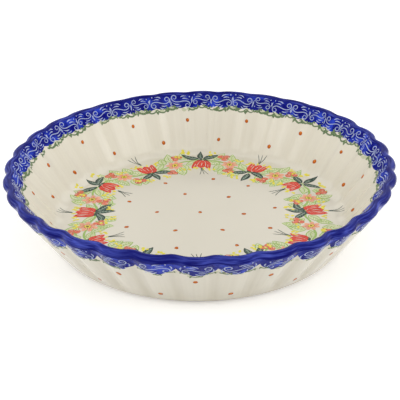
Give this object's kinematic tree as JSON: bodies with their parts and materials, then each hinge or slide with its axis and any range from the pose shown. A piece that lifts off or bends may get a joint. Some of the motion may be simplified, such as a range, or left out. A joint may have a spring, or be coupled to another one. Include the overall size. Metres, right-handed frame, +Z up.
{
  "type": "fluted pie dish",
  "caption": "Round stoneware pie dish with a flared fluted wall, a rounded cobalt lip, a cream glazed inside and a bare foot ring, for baking and serving pies.",
  "frame": {"origin": "middle of the foot ring, on the table", "axes": "+Z up along the axis of the dish, with a flute crest at -Y"},
  "size_m": [0.262, 0.262, 0.049],
  "materials": {
    "clay": "bare fired stoneware, matt and slightly gritty",
    "inside_glaze": "clear glossy glaze over cream clay with hand-painted dots, border and garland",
    "cobalt_glaze": "clear glossy glaze over solid brushed cobalt",
    "outside_glaze": "clear glossy glaze over cream clay with a painted border and dots",
    "underside_glaze": "clear glossy glaze over cream clay, undecorated"
  },
  "bodies": {
    "root": {"stoneware_body": "clay", "inside_glaze": "inside_glaze", "rim_glaze": "cobalt_glaze", "outside_glaze": "outside_glaze", "underside_glaze": "underside_glaze"}
  },
  "joints": []
}
